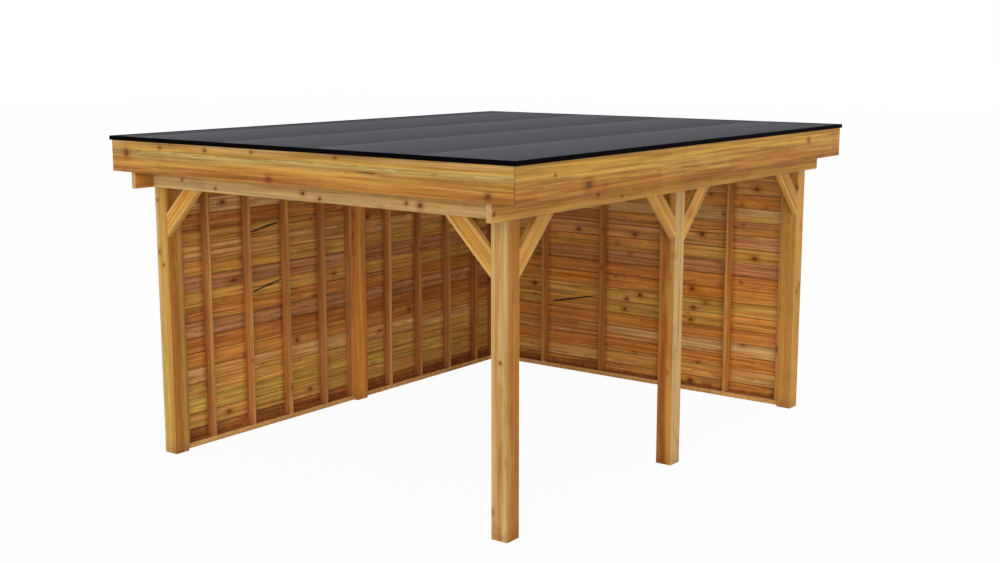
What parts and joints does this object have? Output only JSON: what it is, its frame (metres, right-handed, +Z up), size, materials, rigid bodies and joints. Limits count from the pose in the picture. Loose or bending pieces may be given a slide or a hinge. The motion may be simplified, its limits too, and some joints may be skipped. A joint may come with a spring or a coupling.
{
  "type": "freestanding veranda",
  "caption": "Open timber veranda with a flat felt roof: square posts, beams, diagonal braces, boarded left and back walls, two open sides.",
  "frame": {"origin": "on the ground, at the middle of the plan of the six posts", "axes": "+X to the right along the front, +Y from the front to the back, +Z up"},
  "size_m": [4.127, 5.127, 2.694],
  "materials": {
    "post_timber": "planed softwood with stripes of pale sapwood and brown heartwood, matt",
    "side_beam_timber": "planed softwood, orange brown, matt",
    "cross_beam_timber": "planed softwood, pale sapwood, matt",
    "brace_timber": "planed softwood, light yellow brown, matt",
    "stud_timber": "planed softwood, brown, matt",
    "wall_boards": "rough sawn lapped boards, red brown to olive, matt",
    "joist_timber": "planed softwood, matt",
    "fascia_timber": "planed softwood, golden with orange and green stripes, matt",
    "deck_boards": "tongued and grooved softwood boards, matt",
    "roof_felt": "mineral surfaced bitumen felt in overlapping strips, matt dark grey",
    "edge_trim": "powder coated black, satin"
  },
  "bodies": {
    "root": {"post_front_left": "post_timber", "post_front_right": "post_timber", "post_right_middle": "post_timber", "post_back_right": "post_timber", "post_left_middle": "post_timber", "post_back_left": "post_timber", "beam_left": "side_beam_timber", "beam_right": "side_beam_timber", "beam_front": "cross_beam_timber", "beam_back": "cross_beam_timber", "brace_front_left": "brace_timber", "brace_front_right": "brace_timber", "brace_right_front": "brace_timber", "brace_right_mid_front": "brace_timber", "brace_right_mid_back": "brace_timber", "brace_right_back": "brace_timber", "left_front_bottom_rail": "stud_timber", "left_front_top_rail": "stud_timber", "left_front_studs": "stud_timber", "left_back_bottom_rail": "stud_timber", "left_back_top_rail": "stud_timber", "left_back_studs": "stud_timber", "back_bottom_rail": "stud_timber", "back_top_rail": "stud_timber", "back_studs": "stud_timber", "cladding_left_front": "wall_boards", "cladding_left_back": "wall_boards", "cladding_back": "wall_boards", "roof_joists": "joist_timber", "fascia_front": "fascia_timber", "fascia_right": "fascia_timber", "fascia_back": "fascia_timber", "fascia_left": "fascia_timber", "roof_deck": "deck_boards", "roof_felt": "roof_felt", "trim_front": "edge_trim", "trim_right": "edge_trim", "trim_back": "edge_trim", "trim_left": "edge_trim"}
  },
  "joints": []
}
